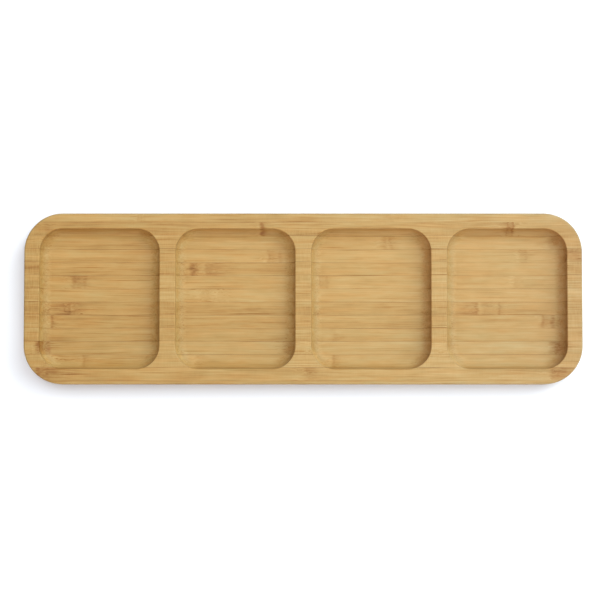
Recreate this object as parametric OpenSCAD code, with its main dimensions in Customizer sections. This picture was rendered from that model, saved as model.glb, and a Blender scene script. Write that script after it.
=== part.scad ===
// Divided serving plate of edge-laminated bamboo.
// Full-height bamboo strips run along the plate and are glued side to side.
// The compartments are routed into the finished board, so every strip
// carries its own slice of each compartment.
// Millimetres. +X runs along the plate, +Y to its back edge, +Z up.
// The origin is the centre of the flat underside.

/* [Board] */
// Length of the plate, end to end
board_l = 390; // [340:1:440]
// Width of the plate, front to back
board_w = 119.5; // [105:0.5:135]
// Thickness of the plate
board_h = 18; // [16:0.5:24]
// Radius of the plate's corners, seen from above
corner_r = 27; // [24:0.5:34]
// Radius of the eased upper outer edge
top_edge_r = 1.2; // [0.6:0.1:1.8]
// Radius of the eased lower outer edge
bottom_edge_r = 1.6; // [0.6:0.1:2]

/* [Compartments] */
// Number of compartments along the plate
pocket_n = 4; // [3:1:5]
// Width of the rim around the compartments
rim_w = 10.8; // [9:0.1:13]
// Width of each divider between two compartments
divider_w = 11.3; // [8:0.1:16]
// Depth of the compartments below the rim
pocket_depth = 10; // [9.5:0.5:12]
// Radius of the cove between a compartment's wall and its floor
cove_r = 8; // [6:0.5:8]
// Radius of the eased edge at the mouth of a compartment
mouth_r = 0.8; // [0.4:0.1:1.2]

/* [Lamination] */
// Width of the trimmed strip at the back edge
back_strip_w = 6.2; // [4:0.05:8]
// Width of the trimmed strip at the front edge
front_strip_w = 2.45; // [2:0.05:6]
// Thickness of a glue line between two strips
glue_t = 0.15; // [0.1:0.01:0.3]

/* [Hidden] */
$fn = 96;
strip_n = 14;
full_n = strip_n - 2;
strip_pitch = (board_w - back_strip_w - front_strip_w) / full_n;
pocket_l = (board_l - 2 * rim_w - (pocket_n - 1) * divider_w) / pocket_n;
pocket_w = board_w - 2 * rim_w;
pocket_r = corner_r - rim_w;
floor_z = board_h - pocket_depth;
over = 1;

// Strip tones: pale, honey and amber bamboo, and cured glue
pale = "#d9b57c";
honey = "#cfa869";
amber = "#c59a5a";
glue_tone = "#8f6636";

// Y of glue line k, counted from the back edge, k = 0 .. strip_n - 2
function glue_y(k) = board_w / 2 - back_strip_w - k * strip_pitch;

// Y of the back and the front face of strip i, i = 1 .. strip_n
function strip_back_y(i) = i == 1 ? board_w / 2 + over : glue_y(i - 2) - glue_t / 2;
function strip_front_y(i) = i == strip_n ? -board_w / 2 - over : glue_y(i - 1) + glue_t / 2;

// X of the middle of compartment j, j = 0 .. pocket_n - 1
function pocket_x(j) = -board_l / 2 + rim_w + pocket_l / 2 + j * (pocket_l + divider_w);

// A square corner of side r with a quarter round taken out of it, which eases
// a corner at [0, 0] that points along [sx, sy].
module easing(r, sx, sy) {
    difference() {
        translate([sx > 0 ? -r : -over, sy > 0 ? -r : -over]) square(r + over);
        translate([-sx * r, -sy * r]) circle(r);
    }
}

// Carries a profile round a rectangle with round corners. The profile's X is
// the distance out from the corner's own axis and its Y is the height.
module carry_round(l, w, r) {
    for (q = [[1, 1, 0], [-1, 1, 90], [-1, -1, 180], [1, -1, 270]])
        translate([q[0] * (l / 2 - r), q[1] * (w / 2 - r), 0])
            rotate([0, 0, q[2]]) rotate_extrude(angle = 90) children();
    for (a = [0, 180]) rotate([0, 0, a]) {
        translate([-(l / 2 - r), w / 2 - r, 0])
            rotate([90, 0, 90]) linear_extrude(l - 2 * r) children();
        translate([l / 2 - r, w / 2 - r, 0])
            rotate([90, 0, 0]) linear_extrude(w - 2 * r) children();
    }
}

// Section through the plate's edge, outwards from a corner's axis
module edge_section() {
    difference() {
        square([corner_r, board_h]);
        translate([corner_r, board_h]) easing(top_edge_r, 1, 1);
        translate([corner_r, 0]) easing(bottom_edge_r, 1, -1);
    }
}

// The board before routing, with eased outer edges
module blank() {
    carry_round(board_l, board_w, corner_r) edge_section();
    translate([-(board_l / 2 - corner_r), -(board_w / 2 - corner_r), 0])
        cube([board_l - 2 * corner_r, board_w - 2 * corner_r, board_h]);
}

// Section of what the router takes out: coved at the floor, eased at the mouth
module routed_section() {
    difference() {
        translate([0, floor_z]) square([pocket_r, pocket_depth + over]);
        translate([pocket_r, floor_z]) easing(cove_r, 1, -1);
    }
    difference() {
        translate([pocket_r, board_h - mouth_r]) square([mouth_r, mouth_r + over]);
        translate([pocket_r + mouth_r, board_h - mouth_r]) circle(mouth_r);
    }
}

// One compartment's volume, centred on the origin in X and Y
module compartment() {
    carry_round(pocket_l, pocket_w, pocket_r) routed_section();
    translate([-(pocket_l / 2 - pocket_r), -(pocket_w / 2 - pocket_r), floor_z])
        cube([pocket_l - 2 * pocket_r, pocket_w - 2 * pocket_r, pocket_depth + over]);
}

// Everything between two planes of constant Y
module slab(y_front, y_back) {
    translate([-board_l / 2 - over, y_front, -over])
        cube([board_l + 2 * over, y_back - y_front, board_h + 2 * over]);
}

// What the finished board shares with the slabs given to it
module board_within() {
    difference() {
        intersection() {
            blank();
            union() children();
        }
        for (j = [0 : pocket_n - 1]) translate([pocket_x(j), 0, 0]) compartment();
    }
}

// One bamboo strip, counted from the back edge
module strip(i) {
    board_within() slab(strip_front_y(i), strip_back_y(i));
}

module strip_01_back_edge() { color(honey) strip(1); }
module strip_02() { color(amber) strip(2); }
module strip_03() { color(honey) strip(3); }
module strip_04() { color(pale) strip(4); }
module strip_05() { color(honey) strip(5); }
module strip_06() { color(honey) strip(6); }
module strip_07() { color(pale) strip(7); }
module strip_08() { color(amber) strip(8); }
module strip_09() { color(honey) strip(9); }
module strip_10() { color(honey) strip(10); }
module strip_11() { color(pale) strip(11); }
module strip_12() { color(pale) strip(12); }
module strip_13() { color(honey) strip(13); }
module strip_14_front_edge() { color(amber) strip(14); }

// The cured glue between the strips, one film to a joint
module glue_lines() {
    color(glue_tone) board_within()
        for (k = [0 : strip_n - 2]) slab(glue_y(k) - glue_t / 2, glue_y(k) + glue_t / 2);
}

strip_01_back_edge();
strip_02();
strip_03();
strip_04();
strip_05();
strip_06();
strip_07();
strip_08();
strip_09();
strip_10();
strip_11();
strip_12();
strip_13();
strip_14_front_edge();
glue_lines();
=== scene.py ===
import math

import bmesh
import bpy
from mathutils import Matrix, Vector


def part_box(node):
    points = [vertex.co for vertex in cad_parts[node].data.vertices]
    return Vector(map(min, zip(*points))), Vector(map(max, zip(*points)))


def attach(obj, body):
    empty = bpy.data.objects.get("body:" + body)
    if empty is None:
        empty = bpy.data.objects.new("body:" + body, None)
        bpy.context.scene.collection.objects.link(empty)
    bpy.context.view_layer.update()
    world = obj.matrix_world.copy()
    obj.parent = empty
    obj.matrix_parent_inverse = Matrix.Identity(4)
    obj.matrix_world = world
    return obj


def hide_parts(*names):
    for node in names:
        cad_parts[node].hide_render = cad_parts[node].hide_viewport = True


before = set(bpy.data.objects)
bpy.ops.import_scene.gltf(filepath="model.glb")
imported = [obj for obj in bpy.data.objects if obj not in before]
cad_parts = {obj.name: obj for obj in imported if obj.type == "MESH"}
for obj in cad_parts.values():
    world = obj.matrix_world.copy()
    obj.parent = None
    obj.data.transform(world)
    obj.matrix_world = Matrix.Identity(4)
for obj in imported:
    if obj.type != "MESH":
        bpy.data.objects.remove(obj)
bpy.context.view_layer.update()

# ---------------------------------------------------------------------------
# The plate's own dimensions, in millimetres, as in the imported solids.
# +X runs along the plate and its grain, +Y to its back edge, +Z up.
# ---------------------------------------------------------------------------
MM = 0.001
BOARD_L, BOARD_W, BOARD_H = 390.0, 119.5, 18.0
CORNER_R, TOP_R, BOTTOM_R = 27.0, 1.2, 1.6
POCKETS, RIM, DIVIDER, DEPTH = 4, 10.8, 11.3, 10.0
COVE_R, MOUTH_R = 8.0, 0.8
FLOOR_Z = BOARD_H - DEPTH
POCKET_L = (BOARD_L - 2 * RIM - (POCKETS - 1) * DIVIDER) / POCKETS
POCKET_W = BOARD_W - 2 * RIM
POCKET_R = CORNER_R - RIM
PITCH = POCKET_L + DIVIDER
POCKET_X = [-BOARD_L / 2 + RIM + POCKET_L / 2 + j * PITCH for j in range(POCKETS)]
MIDLINES = [(j + 1 - POCKETS / 2) * PITCH for j in range(POCKETS - 1)]

STRIPS = sorted(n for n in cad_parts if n.startswith("strip_"))
SPAN = {n: (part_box(n)[0].y / MM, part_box(n)[1].y / MM) for n in STRIPS}


# ---------------------------------------------------------------------------
# The routed board as one closed surface, which is then sawn into its strips.
# Every profile on it runs on smoothly into the next, so each point has one
# normal, and that normal goes along as a layer when the board is sawn.
# ---------------------------------------------------------------------------
def outline(cx, l, w, r, top_x, side_y, n):
    """A rectangle with round corners, anticlockwise from the middle of its
    right side: a list of (x, y, outward x, outward y)."""
    hx, hy = l / 2 - r, w / 2 - r
    p = [(l / 2, 0.0, 1, 0)] + [(l / 2, y, 1, 0) for y in side_y]

    def corner(sx, sy, start):
        for k in range(n + 1):
            a = math.radians(start + 90.0 * k / n)
            c, s = math.cos(a), math.sin(a)
            p.append((sx * hx + r * c, sy * hy + r * s, c, s))

    corner(1, 1, 0)
    p.extend((x, w / 2, 0, 1) for x in reversed(top_x))
    corner(-1, 1, 90)
    p.extend((-l / 2, y, -1, 0) for y in [*reversed(side_y), 0.0, *[-y for y in side_y]])
    corner(-1, -1, 180)
    p.extend((x, -w / 2, 0, -1) for x in top_x)
    corner(1, -1, 270)
    p.extend((l / 2, -y, 1, 0) for y in reversed(side_y))
    return [(cx + x, y, a, b) for x, y, a, b in p]


def quarter(n, c_off, c_z, r, a0, a1):
    """Steps along an arc of a profile: (offset, z, outward share, upward share)."""
    for k in range(n + 1):
        a = math.radians(a0 + (a1 - a0) * k / n)
        yield c_off + r * math.cos(a), c_z + r * math.sin(a), math.cos(a), math.sin(a)


def make_board():
    bm = bmesh.new()
    nrm = bm.verts.layers.float_vector.new("nrm")

    def vert(x, y, z, normal):
        v = bm.verts.new((x, y, z))
        v[nrm] = Vector(normal).normalized()
        return v

    def ring(points, z, out, up):
        return [vert(x, y, z, (a * out, b * out, up)) for x, y, a, b in points]

    def bridge(lower, upper):
        m = len(lower)
        for i in range(m):
            k = (i + 1) % m
            bm.faces.new((lower[i], lower[k], upper[k], upper[i]))

    # outer edge, from the underside to the top
    half = BOARD_L / 2 - CORNER_R
    between = [x for j in range(POCKETS) for x in (POCKET_X[j] - 26, POCKET_X[j], POCKET_X[j] + 26)]
    top_x = sorted(x for x in between + MIDLINES if abs(x) < half - 2)
    side_y = [8.25, 16.5, 24.75]

    def outer(off, z, out, up):
        pts = outline(0, BOARD_L + 2 * off, BOARD_W + 2 * off, CORNER_R + off, top_x, side_y, 28)
        return ring(pts, z, out, up)

    profile = [*quarter(7, -BOTTOM_R, BOTTOM_R, BOTTOM_R, -90, 0),
               *quarter(7, -TOP_R, BOARD_H - TOP_R, TOP_R, 0, 90)]
    rings = [outer(*p) for p in profile]
    for a, b in zip(rings, rings[1:]):
        bridge(a, b)
    bm.faces.new(list(reversed(rings[0])))
    rim = rings[-1]

    # compartments, from the mouth to the floor
    mouths = []
    for cx in POCKET_X:
        local_x = [-12.5, 0.0, 12.5]
        local_y = [11.0, 22.0]

        def inner(off, z, out, up):
            pts = outline(cx, POCKET_L + 2 * off, POCKET_W + 2 * off, POCKET_R + off, local_x, local_y, 24)
            return ring(pts, z, -out, up)

        mouth = [(MOUTH_R - MOUTH_R * math.sin(a), BOARD_H - MOUTH_R + MOUTH_R * math.cos(a), math.sin(a), math.cos(a))
                 for a in [math.radians(90 * k / 6) for k in range(7)]]
        cove = [(-COVE_R + COVE_R * math.cos(a), FLOOR_Z + COVE_R - COVE_R * math.sin(a), math.cos(a), math.sin(a))
                for a in [math.radians(90 * k / 24) for k in range(25)]]
        loops = [inner(*p) for p in mouth + cove]
        for a, b in zip(loops, loops[1:]):
            bridge(b, a)
        bm.faces.new(loops[-1])
        mouths.append(loops[0])

    # the flat top, as an upper and a lower face round each compartment
    def find(verts, x, y):
        return min(range(len(verts)), key=lambda i: (verts[i].co.x - x) ** 2 + (verts[i].co.y - y) ** 2)

    ends = [rim[find(rim, -BOARD_L / 2, 0)], *[vert(x, 0, BOARD_H, (0, 0, 1)) for x in MIDLINES], rim[0]]
    yt = BOARD_W / 2 - TOP_R
    tops = [find(rim, -BOARD_L / 2, 0), *[find(rim, x, yt) for x in MIDLINES], 0]
    bots = [find(rim, -BOARD_L / 2, 0), *[find(rim, x, -yt) for x in MIDLINES], len(rim)]
    for j, m in enumerate(mouths):
        mid = find(m, POCKET_X[j] - POCKET_L, 0)
        up = [rim[i] for i in range(tops[j], tops[j + 1] - 1, -1)]
        down = [rim[i % len(rim)] for i in range(bots[j], bots[j + 1] + 1)]
        hole_up, hole_down = m[0:mid + 1], [m[i % len(m)] for i in range(len(m), mid - 1, -1)]

        def face(side, hole):
            loop = [ends[j]] if side[0] is not ends[j] else []
            loop += side
            loop += [ends[j + 1]] if side[-1] is not ends[j + 1] else []
            bm.faces.new(loop + hole)

        face(up, hole_up)
        face(down, hole_down)
    bmesh.ops.recalc_face_normals(bm, faces=bm.faces[:])
    return bm


def saw(board, y0, y1):
    """The board between two planes of constant Y, closed again where it is cut."""
    bm = board.copy()
    for y, way in ((y1, 1), (y0, -1)):
        bmesh.ops.bisect_plane(bm, geom=bm.verts[:] + bm.edges[:] + bm.faces[:], dist=1e-5,
                               plane_co=(0, y, 0), plane_no=(0, way, 0), clear_outer=True)
    for x in MIDLINES:
        bmesh.ops.bisect_plane(bm, geom=bm.verts[:] + bm.edges[:] + bm.faces[:], dist=1e-5,
                               plane_co=(x, 0, 0), plane_no=(1, 0, 0))
    cut = bm.faces.layers.int.new("cut")
    open_edges = [e for e in bm.edges if len(e.link_faces) == 1]
    if open_edges:
        made = bmesh.ops.edgeloop_fill(bm, edges=open_edges)["faces"]
        for f in made:
            f[cut] = 1
    bmesh.ops.recalc_face_normals(bm, faces=bm.faces[:])
    return bm


def to_object(name, parts):
    """One object from sawn pieces, with the board's own normals on its skin."""
    verts, faces, normals = [], [], []
    for bm in parts:
        nrm, cut = bm.verts.layers.float_vector["nrm"], bm.faces.layers.int["cut"]
        base = len(verts)
        bm.verts.index_update()
        verts.extend((v.co * MM).to_tuple() for v in bm.verts)
        for f in bm.faces:
            faces.append([base + v.index for v in f.verts])
            if f[cut]:
                normals.extend([f.normal.to_tuple()] * len(f.verts))
            else:
                normals.extend(Vector(v[nrm]).normalized().to_tuple() for v in f.verts)
        bm.free()
    me = bpy.data.meshes.new(name)
    me.from_pydata(verts, [], faces)
    me.polygons.foreach_set("use_smooth", [True] * len(me.polygons))
    me.update()
    me.normals_split_custom_set(normals)
    me.validate()
    ob = bpy.data.objects.new(name, me)
    bpy.context.scene.collection.objects.link(ob)
    return ob


# ---------------------------------------------------------------------------
# Node helpers
# ---------------------------------------------------------------------------
class Tree:
    def __init__(self, name):
        self.mat = bpy.data.materials.new(name)
        self.mat.use_nodes = True
        self.nt = self.mat.node_tree
        self.nt.nodes.clear()

    def put(self, socket, value):
        if isinstance(value, bpy.types.NodeSocket):
            self.nt.links.new(value, socket)
        elif value is not None:
            socket.default_value = value

    def math(self, op, a, b=None, c=None, clamp=False):
        n = self.nt.nodes.new("ShaderNodeMath")
        n.operation, n.use_clamp = op, clamp
        for i, v in enumerate((a, b, c)):
            self.put(n.inputs[i], v)
        return n.outputs[0]

    def add(self, *terms):
        out = terms[0]
        for t in terms[1:]:
            out = self.math("ADD", out, t)
        return out

    def mul(self, *terms):
        out = terms[0]
        for t in terms[1:]:
            out = self.math("MULTIPLY", out, t)
        return out

    def vec(self, op, a, b=None):
        n = self.nt.nodes.new("ShaderNodeVectorMath")
        n.operation = op
        self.put(n.inputs[0], a)
        self.put(n.inputs[1], b)
        return n.outputs[0]

    def xyz(self, x, y, z):
        n = self.nt.nodes.new("ShaderNodeCombineXYZ")
        for i, v in enumerate((x, y, z)):
            self.put(n.inputs[i], v)
        return n.outputs[0]

    def split(self, v):
        n = self.nt.nodes.new("ShaderNodeSeparateXYZ")
        self.put(n.inputs[0], v)
        return n.outputs

    def noise(self, v, detail=2.0, rough=0.5, scale=1.0, colour=False):
        n = self.nt.nodes.new("ShaderNodeTexNoise")
        n.noise_dimensions = "3D"
        self.put(n.inputs["Vector"], v)
        n.inputs["Scale"].default_value = scale
        n.inputs["Detail"].default_value = detail
        n.inputs["Roughness"].default_value = rough
        return n.outputs["Color" if colour else "Fac"]

    def step(self, v, a, b, lo=0.0, hi=1.0):
        n = self.nt.nodes.new("ShaderNodeMapRange")
        n.interpolation_type = "SMOOTHSTEP"
        self.put(n.inputs["Value"], v)
        for k, x in (("From Min", a), ("From Max", b), ("To Min", lo), ("To Max", hi)):
            self.put(n.inputs[k], x)
        return n.outputs["Result"]

    def mix(self, fac, a, b, blend="MIX"):
        n = self.nt.nodes.new("ShaderNodeMix")
        n.data_type, n.blend_type, n.clamp_factor = "RGBA", blend, True
        self.put(n.inputs["Factor"], fac)
        self.put(n.inputs[6], a if isinstance(a, bpy.types.NodeSocket) else (*a, 1))
        self.put(n.inputs[7], b if isinstance(b, bpy.types.NodeSocket) else (*b, 1))
        return n.outputs[2]

    def ramp(self, fac, stops, ease="LINEAR"):
        n = self.nt.nodes.new("ShaderNodeValToRGB")
        n.color_ramp.interpolation = ease
        e = n.color_ramp.elements
        while len(e) < len(stops):
            e.new(0.5)
        for el, (pos, col) in zip(e, stops):
            el.position, el.color = pos, (*col, 1)
        self.put(n.inputs[0], fac)
        return n.outputs[0]

    def shade(self, colour, rough, height, distance, strength, level=0.35):
        bump = self.nt.nodes.new("ShaderNodeBump")
        bump.inputs["Strength"].default_value = strength
        bump.inputs["Distance"].default_value = distance
        self.put(bump.inputs["Height"], height)
        b = self.nt.nodes.new("ShaderNodeBsdfPrincipled")
        self.put(b.inputs["Base Color"], colour)
        self.put(b.inputs["Roughness"], rough)
        b.inputs["Specular IOR Level"].default_value = level
        self.nt.links.new(bump.outputs[0], b.inputs["Normal"])
        out = self.nt.nodes.new("ShaderNodeOutputMaterial")
        self.nt.links.new(b.outputs[0], out.inputs[0])
        return self.mat


# ---------------------------------------------------------------------------
# Bamboo. One material for each strip: every strip is cut from another culm, so
# it has its own tone, its own run of fibre bundles and its own knuckles, where
# a node of the culm crosses it.
# ---------------------------------------------------------------------------
DARK, DEEP, MID, PALE = (0.145, 0.053, 0.005), (0.282, 0.138, 0.031), (0.394, 0.231, 0.070), (0.475, 0.315, 0.122)


def bamboo(name, seed, tone, lean, knuckles, y0, y1):
    """tone shifts the strip from amber (below 0) to pale (above 0). lean is the
    side that grew outermost in the culm, where the bundles stand closest.
    knuckles: (x, way its streaks run, their length, strength, share of pale,
    where across the strip it is strongest, rings as (distance, width, weight))."""
    t = Tree(name)
    co = t.nt.nodes.new("ShaderNodeTexCoord")
    p = t.vec("MULTIPLY", co.outputs["Object"], (1000, 1000, 1000))
    x, y, z = t.split(p)
    ps = t.vec("ADD", p, (seed * 613.0, seed * 37.0, seed * 91.0))
    xs, ys, zs = t.split(ps)
    mid, half = (y0 + y1) / 2, max((y1 - y0) / 2, 0.5)
    across = t.math("DIVIDE", t.math("SUBTRACT", y, mid), half)

    def centred(scale, detail, rough, size):
        n = t.noise(t.vec("MULTIPLY", ps, scale), detail, rough)
        return t.mul(t.math("SUBTRACT", n, 0.5), size)

    # slow waviness of the fibres
    wave = centred((0.011, 0.06, 0.06), 2.0, 0.5, 2.4)

    # knuckles: a mottled brown patch, broken rings across the strip where the
    # node's wall stood, streaks that trail off to one side, and a pale fringe
    brown, bright, swirl = None, None, wave
    if knuckles:
        bend = t.add(centred((0.16, 0.30, 0.30), 1.0, 0.5, 6.0), centred((0.55, 0.80, 0.80), 1.0, 0.5, 0.9))
        mottle = t.noise(t.vec("MULTIPLY", ps, (0.20, 0.42, 0.42)), 2.0, 0.5)
        mottle = t.step(mottle, 0.30, 0.66, 0.50, 1.0)
        broken = t.noise(t.vec("MULTIPLY", ps, (0.16, 0.95, 0.95)), 2.0, 0.5)
        broken = t.step(broken, 0.30, 0.62, 0.45, 1.0)
        streak = t.noise(t.vec("MULTIPLY", ps, (0.06, 1.20, 1.20)), 3.0, 0.6)
        streak = t.step(streak, 0.44, 0.68)
        turn = centred((0.15, 0.24, 0.24), 1.0, 0.5, 1.0)
    for kx, way, length, strength, pale, ky, rings in knuckles:
        raw = t.mul(t.math("SUBTRACT", x, kx), float(way))
        d = t.add(raw, bend)
        v = t.step(t.math("ABSOLUTE", t.math("SUBTRACT", across, ky)), 0.55, 1.75, 1.0, 0.25)
        patch = t.mul(t.step(d, -2.6, 1.8), t.step(d, length * 0.25, length * 1.3, 1.0, 0.0), mottle,
                      t.math("MULTIPLY_ADD", streak, 0.45, 0.48))
        tail = t.mul(t.step(d, -0.6, 2.0), t.step(d, length * 0.3, length * 2.3, 1.0, 0.0), streak, 0.70)
        k = t.math("MAXIMUM", patch, tail)
        for off, width, weight in rings:
            near = t.math("ABSOLUTE", t.math("SUBTRACT", t.math("MULTIPLY_ADD", bend, 0.55, raw), off))
            k = t.math("MAXIMUM", k, t.mul(t.step(near, width * 0.1, width * 2.2, 1.0, 0.0), broken, weight))
        k = t.mul(k, v, strength)
        br = t.mul(t.step(t.math("ABSOLUTE", t.add(d, 2.2)), 0.3, 3.2, 1.0, 0.0), streak, pale)
        sw = t.mul(turn, t.step(t.math("ABSOLUTE", raw), 1.5, 12.0, 1.0, 0.0), 5.5 * max(strength, pale))
        brown = k if brown is None else t.math("MAXIMUM", brown, k)
        bright = br if bright is None else t.math("MAXIMUM", bright, br)
        swirl = t.add(swirl, sw)

    yf, zf = t.add(ys, swirl), t.add(zs, t.mul(swirl, 0.6))

    # fibre bundles: long threads, dots where the grain ends
    cells = t.nt.nodes.new("ShaderNodeTexVoronoi")
    cells.voronoi_dimensions, cells.feature = "3D", "F1"
    t.put(cells.inputs["Vector"], t.xyz(t.mul(xs, 0.016), t.mul(yf, 1.30), t.mul(zf, 1.30)))
    cells.inputs["Scale"].default_value = 1.0
    size = t.math("MULTIPLY_ADD", across, 0.07 * lean, 0.36)
    bundle = t.step(cells.outputs["Distance"], t.math("SUBTRACT", size, 0.22), size, 1.0, 0.0)
    some = t.split(cells.outputs["Color"])[0]
    bundle = t.mul(bundle, t.step(some, 0.0, 1.0, 0.25, 1.0))

    fine = t.noise(t.xyz(t.mul(xs, 0.065), t.mul(yf, 5.2), t.mul(zf, 5.2)), 3.0, 0.62)
    fibre = t.noise(t.xyz(t.mul(xs, 0.020), t.mul(yf, 1.05), t.mul(zf, 1.05)), 4.0, 0.62)
    broad = t.noise(t.vec("MULTIPLY", ps, (0.011, 0.16, 0.16)), 2.0, 0.5)
    cloud = t.noise(t.vec("MULTIPLY", ps, (0.07, 0.20, 0.20)), 3.0, 0.55)

    # how pale the ground is, 0 to 1
    thread = t.noise(t.xyz(t.mul(xs, 0.050), t.mul(yf, 1.9), t.mul(zf, 1.9)), 2.0, 0.55)
    top = t.step(z, BOARD_H - 0.5, BOARD_H - 0.1)
    crisp = t.math("MAXIMUM", t.step(x, -190.0, 190.0, 1.14, 0.76), t.mul(top, 1.36))
    band = t.noise(t.xyz(t.mul(xs, 0.012), t.mul(yf, 0.40), t.mul(zf, 0.40)), 1.0, 0.5)
    g = t.mul(t.math("SUBTRACT", fibre, 0.5), 0.55)
    g = t.math("MULTIPLY_ADD", t.math("SUBTRACT", band, 0.5), t.step(x, -190.0, 100.0, 0.40, 0.0), g)
    g = t.math("MULTIPLY_ADD", t.math("SUBTRACT", thread, 0.5), 0.40, g)
    g = t.math("MULTIPLY_ADD", t.math("SUBTRACT", fine, 0.5), 0.29, g)
    g = t.math("MULTIPLY_ADD", t.math("SUBTRACT", bundle, 0.15), -0.28, g)
    g = t.math("MULTIPLY_ADD", g, crisp, 0.56 + tone)
    g = t.math("MULTIPLY_ADD", t.math("SUBTRACT", broad, 0.5), 0.42, g)
    g = t.math("MULTIPLY_ADD", t.math("SUBTRACT", cloud, 0.5), 0.36, g)
    g = t.math("MULTIPLY_ADD", across, -0.05 * lean, g)
    scratch = t.noise(t.vec("MULTIPLY", ps, (1.3, 0.12, 0.12)), 2.0, 0.6)
    bars = t.step(t.math("ABSOLUTE", y), 46.0, 50.0, t.step(x, -188.0, -176.0, 0.62, 0.32), 0.14)
    scratch = t.mul(t.math("SUBTRACT", scratch, 0.5), bars, top)
    g = t.add(g, scratch)

    # a thin dark edge where glue and sanding dust have soaked in, here and there
    worn = t.noise(t.xyz(t.mul(xs, 0.022), t.mul(ys, 0.3), t.mul(zs, 0.12)), 3.0, 0.6)
    reach = t.step(worn, 0.40, 0.68, 0.30 / half, 0.90 / half)
    edge = t.step(t.math("SUBTRACT", t.math("ABSOLUTE", across), 1.0), t.mul(reach, -1.0), 0.0)
    edge = t.mul(edge, t.step(worn, 0.36, 0.66, 0.22, 0.60))
    nx, ny, nz = t.split(co.outputs["Normal"])
    # the joints are darker still on the walls facing -X: painted shade there
    joint_shade_minus_x = t.step(nx, -0.90, -0.35, -0.30, 0.0)
    g = t.math("MULTIPLY_ADD", edge, t.add(joint_shade_minus_x, t.add(t.step(x, -150.0, 60.0, -0.31, -0.21), t.step(x, -186.0, -182.0, -0.20, 0.0))), g)
    # end grain takes up more oil in some strips than in others
    takes = t.noise(t.vec("MULTIPLY", ps, (0.01, 0.24, 0.10)), 2.0, 0.5)
    g = t.math("MULTIPLY_ADD", t.math("SUBTRACT", takes, 0.5), t.step(nx, -0.90, -0.35, 0.6, 0.0), g)

    # how far out a point is, as the radius of its corner would be
    qx = t.math("SUBTRACT", t.math("ABSOLUTE", x), BOARD_L / 2 - CORNER_R)
    qy = t.math("SUBTRACT", t.math("ABSOLUTE", y), BOARD_W / 2 - CORNER_R)
    ox, oy = t.math("MAXIMUM", qx, 0.0), t.math("MAXIMUM", qy, 0.0)
    out = t.math("SQRT", t.add(t.mul(ox, ox), t.mul(oy, oy)))
    out = t.math("ADD", out, t.math("MINIMUM", t.math("MAXIMUM", qx, qy), 0.0))
    ends = t.step(t.math("ABSOLUTE", nx), 0.60, 0.98)
    g = t.math("MULTIPLY_ADD", ends, -0.03, g)

    if knuckles:
        g = t.math("MULTIPLY_ADD", bright, 0.24, g)
        g = t.math("MULTIPLY_ADD", brown, -0.20, g)
    g = t.math("MAXIMUM", t.math("MINIMUM", g, 1.0), 0.0)
    colour = t.ramp(g, [(0.0, DARK), (0.25, DEEP), (0.60, MID), (1.0, PALE)])

    if knuckles:
        colour = t.mix(brown, colour, t.mix(1.0, colour, (0.70, 0.52, 0.36), "MULTIPLY"))

    # some runs of the culm are redder, some greener
    hue = t.noise(t.vec("MULTIPLY", ps, (0.040, 0.30, 0.30)), 3.0, 0.6)
    colour = t.mix(1.0, colour, t.ramp(hue, [(0.28, (1.045, 0.975, 0.90)), (0.72, (0.96, 1.02, 1.06))]), "MULTIPLY")
    # painted light falloff and painted sheen: the colour grows a little lighter and less saturated towards the +X end,
    # where the key light stands
    fade = t.math("MULTIPLY_ADD", x, 1.0 / BOARD_L, 0.5)
    colour = t.mix(1.0, colour, t.ramp(fade, [(0.0, (0.955, 0.906, 0.77)), (0.62, (1.048, 1.06, 1.09)), (0.87, (1.036, 1.068, 1.185)), (1.0, (0.985, 0.995, 1.12))]), "MULTIPLY")
    # painted shade and light on the walls of the compartments, set by the way each wall faces; the walls facing -X in
    # the right-hand compartments get the deepest, reddest painted shade
    inside = t.step(out, CORNER_R - 5.0, CORNER_R - 3.0, 1.0, 0.0)
    right_compartments = t.step(x, -20.0, 60.0)
    for way, tint in ((nx, t.mix(right_compartments, (0.965, 1.01, 1.10), (0.935, 0.97, 1.05))), (ny, (0.93, 0.94, 0.98)),
                      (t.mul(nx, -1.0), t.mix(right_compartments, (0.99, 0.98, 1.0), (0.94, 0.86, 0.85)))):
        wall = t.mul(t.step(way, 0.10, 0.60), inside)
        colour = t.mix(wall, colour, t.mix(1.0, colour, tint, "MULTIPLY"))
    # painted light: the steep walls facing +X and +Y are made lighter
    steep = t.mul(t.step(t.math("MULTIPLY_ADD", nx, 0.8, t.mul(ny, 0.6)), 0.55, 0.95), inside)
    colour = t.mix(steep, colour, t.mix(1.0, colour, (1.24, 1.26, 1.28), "MULTIPLY"))
    # the flat top is made a little darker than the floors
    colour = t.mix(t.mul(top, 0.025), colour, (0.0, 0.0, 0.0))
    # painted highlight: the eased outer edge near the top is made paler and bluer, as a sheen along it
    eased = t.mul(t.step(out, CORNER_R - 1.8, CORNER_R - 0.3), t.step(z, BOARD_H - 2.4, BOARD_H - 0.8))
    colour = t.mix(eased, colour, t.mix(1.0, colour, (0.93, 1.04, 1.22), "MULTIPLY"))

    rough = t.math("MULTIPLY_ADD", t.math("SUBTRACT", fine, 0.5), 0.16, 0.50)
    rough = t.math("MULTIPLY_ADD", bundle, 0.07, rough)
    rough = t.math("MULTIPLY_ADD", ends, 0.10, rough)
    height = t.math("MULTIPLY_ADD", bundle, -0.55, t.mul(fine, 0.8))
    return t.shade(colour, rough, height, 0.00006, 0.35, 0.22)


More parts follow.
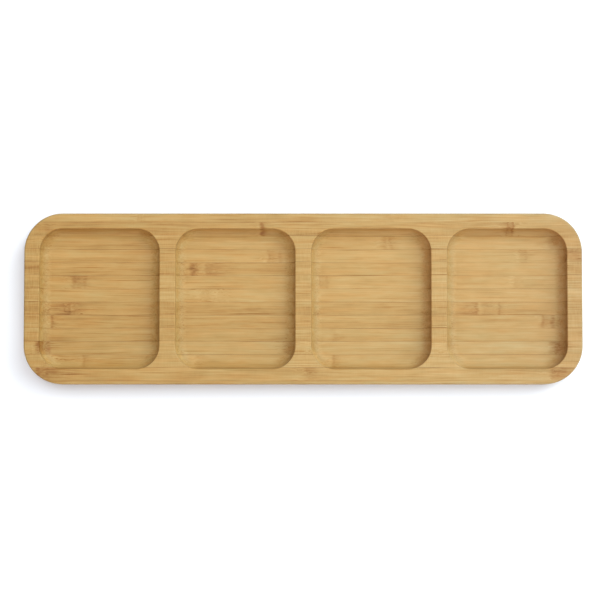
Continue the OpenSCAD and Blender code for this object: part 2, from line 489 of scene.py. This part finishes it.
def glue(name):
    t = Tree(name)
    co = t.nt.nodes.new("ShaderNodeTexCoord")
    p = t.vec("MULTIPLY", co.outputs["Object"], (1000, 1000, 1000))
    run = t.noise(t.vec("MULTIPLY", p, (0.013, 0.37, 0.05)), 3.0, 0.6)
    a = t.noise(t.vec("MULTIPLY", p, (0.06, 0.5, 0.3)), 4.0, 0.65)
    b = t.noise(t.vec("MULTIPLY", p, (0.6, 2.0, 2.0)), 3.0, 0.6)
    thick = t.math("MULTIPLY_ADD", t.math("SUBTRACT", a, 0.5), 0.9, t.step(run, 0.34, 0.66))
    thick = t.math("MULTIPLY_ADD", t.math("SUBTRACT", b, 0.5), 0.3, thick)
    colour = t.ramp(thick, [(0.0, (0.357, 0.209, 0.066)), (0.55, (0.266, 0.143, 0.042)), (1.0, (0.130, 0.058, 0.015))])
    return t.shade(colour, t.math("MULTIPLY_ADD", b, 0.2, 0.42), b, 0.00003, 0.3, 0.30)


# strip: tone, lean, knuckles as (x, way, length, strength, pale, across, rings)
CULM = {
    1: (0.08, 0.2, [(-115.5, 1, 4, 0.30, 0.3, 0.0, [(0, 0.6, 0.8), (2.4, 0.5, 0.7), (4.6, 0.5, 0.5)]),
                  (61, -1, 6, 0.25, 0.2, 0.0, [])]),
    2: (-0.02, -0.4, [(-181, 1, 7, 0.40, 0.1, 0.4, []), (-29.0, 1, 4, 1.0, 0.5, -0.1, [(0.4, 1.3, 1.0)]),
                    (146.5, -1, 7, 1.1, 0.2, 0.6, [(0, 0.8, 1.0), (3.2, 0.8, 0.8)])]),
    3: (0.06, 0.2, [(-182, 1, 6, 0.35, 0.0, 0.6, []), (55.5, 1, 4, 0.62, 0.3, 0.0, []), (60.5, 1, 5, 0.66, 0.2, 0.1, []),
                   (173, 1, 9, 0.55, 0.0, 0.2, [])]),
    4: (0.06, 0.5, [(-24.5, 1, 8, 0.40, 0.6, 0.0, [(0.6, 1.0, 0.9), (8.4, 1.0, 0.8)]),
                   (153, 1, 7, 0.36, 0.8, 0.3, [(3.4, 1.3, 0.9)]), (184, 1, 40, 0.95, 0.0, 0.0, [])]),
    5: (0.00, -0.1, [(-79.0, 1, 8, 0.80, 0.3, 0.0, [(1.6, 1.8, 0.9)]), (-68.5, 1, 12, 0.78, 0.4, 0.0, [(1.0, 1.2, 0.6)])]),
    6: (0.07, -0.1, [(-162, 1, 12, 0.95, 0.3, 0.3, [(1.0, 1.4, 0.7), (8.5, 1.4, 0.6)]), (11.5, 1, 6, 0.34, 0.5, 0.0, [(0.5, 0.9, 0.9), (5.0, 0.9, 0.7)]),
                  (148, 1, 7, 0.20, 0.9, 0.0, [(1.0, 1.0, 0.7)])]),
    7: (0.105, 0.6, [(-72, 1, 12, 0.14, 1.0, 0.0, []), (-66, -1, 6, 0.10, 1.0, 0.0, []), (-60, 1, 8, 0.08, 1.0, 0.0, [])]),
    8: (-0.01, -0.9, [(-163.6, -1, 13, 0.95, 0.2, -0.2, [(0.8, 1.2, 0.8)]), (-163.0, 1, 12, 0.70, 0.2, 0.6, []),
                   (122.4, -1, 13, 0.66, 0.4, -0.2, [(0.6, 1.2, 1.0)]), (125.5, 1, 7, 0.50, 0.3, 0.9, []),
                   (137.6, 1, 2, 0.45, 0.0, 0.0, [(0.4, 0.7, 1.0)])]),
    9: (0.02, -0.4, [(-176.6, 1, 3, 0.62, 0.6, 0.0, [(0.4, 0.9, 1.0)]),
                    (167.5, 1, 9, 0.72, 0.3, 0.2, [(1.0, 1.2, 0.8), (7.6, 1.3, 0.9)])]),
    10: (0.04, 0.0, [(20, 1, 5, 0.40, 0.1, -0.3, []), (-100, -1, 5, 0.20, 0.2, 0.0, [])]),
    11: (0.125, -0.6, [(-184.8, 1, 9, 1.15, 0.2, 0.6, [(0.8, 1.8, 1.0), (6.0, 1.6, 0.8)]), (-12.6, 1, 7, 0.62, 0.1, 0.4, []),
                    (6.4, 1, 3, 0.62, 0.0, 1.1, []), (101, 1, 4, 0.62, 0.0, 1.1, []), (174, 1, 14, 1.05, 0.1, 0.5, [(4.0, 1.8, 0.9)])]),
    12: (0.10, 0.3, [(-173, 1, 12, 0.05, 0.9, 0.2, []), (-154, 1, 4, 0.36, 0.5, 0.0, [(0.6, 1.0, 1.0)]), (-75, 1, 8, 0.22, 0.6, 0.2, []),
                   (21, 1, 5, 0.46, 0.6, 0.0, [(0.4, 1.0, 0.9)])]),
    13: (0.045, 0.2, [(-187, 1, 24, 1.2, 0.1, 0.5, [(2.0, 1.6, 0.8), (9.0, 1.5, 0.7)]), (1.5, 1, 10, 0.60, 0.1, 0.5, []), (173, 1, 16, 0.95, 0.2, 0.3, [(1.0, 1.3, 0.6)])]),
    14: (0.01, 0.2, [(-60, 1, 6, 0.30, 0.1, 0.0, [])]),
}

board = make_board()
for i, node in enumerate(STRIPS, 1):
    y0, y1 = SPAN[node]
    ob = to_object("bamboo_" + node, [saw(board, y0, y1)])
    tone, lean, knuckles = CULM[i]
    ob.data.materials.append(bamboo("bamboo_" + node, i, tone, lean, knuckles, y0, y1))
    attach(ob, "root")
    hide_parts(node)

films = [saw(board, SPAN[b][1], SPAN[a][0]) for a, b in zip(STRIPS, STRIPS[1:])]
ob = to_object("glue_films", films)
ob.data.materials.append(glue("cured_glue"))
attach(ob, "root")
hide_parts("glue_lines")
board.free()

# ---------------------------------------------------------------------------
# Studio: a white sweep that is lit a little from below, a large soft key at the
# right, softer light all round
# ---------------------------------------------------------------------------
scene = bpy.context.scene
scene.view_settings.view_transform = "Standard"
scene.view_settings.look = "None"

floor_me = bpy.data.meshes.new("floor")
floor_me.from_pydata([(-6, -6, 0), (6, -6, 0), (6, 6, 0), (-6, 6, 0)], [], [(0, 1, 2, 3)])
floor = bpy.data.objects.new("floor", floor_me)
scene.collection.objects.link(floor)
ft = Tree("floor_white")
fb = ft.nt.nodes.new("ShaderNodeBsdfPrincipled")
fb.inputs["Base Color"].default_value = (0.771, 0.787, 0.802, 1)
fb.inputs["Emission Color"].default_value = (1, 1, 1, 1)
fb.inputs["Emission Strength"].default_value = 0.10
fb.inputs["Roughness"].default_value = 0.9
fb.inputs["Specular IOR Level"].default_value = 0.1
fo = ft.nt.nodes.new("ShaderNodeOutputMaterial")
ft.nt.links.new(fb.outputs[0], fo.inputs[0])
floor_me.materials.append(ft.mat)
floor.location.z = -0.00005


DAYLIGHT = (1.035, 1.09, 1.15)


def softbox(name, at, aim, size, watts, tint=(1, 1, 1)):
    d = bpy.data.lights.new(name, "AREA")
    d.shape, d.size, d.size_y, d.energy = "RECTANGLE", size[0], size[1], watts
    d.color = [a * b for a, b in zip(tint, DAYLIGHT)]
    o = bpy.data.objects.new(name, d)
    o.location = at
    o.rotation_euler = (Vector(aim) - Vector(at)).to_track_quat("-Z", "Y").to_euler()
    scene.collection.objects.link(o)
    return o


softbox("key", (0.819, 0.0, 0.574), (0, 0, 0.02), (0.7, 0.7), 4.0, (0.96, 1.0, 1.08))
softbox("back", (1.738, 1.738, 1.721), (0, 0, 0.02), (1.6, 1.6), 33.9, (0.95, 1.0, 1.06))
softbox("high", (1.061, 1.061, 2.598), (0, 0, 0.02), (1.6, 1.6), 33.5, (1.01, 1.0, 0.92))
softbox("top", (0.0, 0.0, 3.0), (0, 0, 0.02), (1.6, 1.6), 27.5, (0.92, 1.02, 1.06))
softbox("front", (0.0, -2.898, 0.776), (0, 0, 0.02), (1.6, 1.6), 41.8, (1.18, 0.95, 0.85))
softbox("left", (-0.557, 0.321, 0.766), (0, 0, 0.02), (0.7, 0.7), 2.66, (1.12, 0.95, 0.95))

world = bpy.data.worlds.new("studio")
world.use_nodes = True
world.node_tree.nodes["Background"].inputs["Color"].default_value = (*DAYLIGHT, 1)
world.node_tree.nodes["Background"].inputs["Strength"].default_value = 0.149
scene.world = world

# camera: almost straight down, from a little in front
DIST, TILT, AIM = 1.38, math.radians(3.2), Vector((-0.0022, -0.0010, 0.018))
cam_d = bpy.data.cameras.new("camera")
cam_d.sensor_fit, cam_d.sensor_width = "HORIZONTAL", 36.0
cam_d.lens = 36.0 * DIST / 0.4187
cam_d.clip_start, cam_d.clip_end = 0.05, 50
cam = bpy.data.objects.new("camera", cam_d)
cam.location = AIM + Vector((0, -math.sin(TILT), math.cos(TILT))) * DIST
cam.rotation_euler = (TILT, 0, 0)
scene.collection.objects.link(cam)
scene.camera = cam
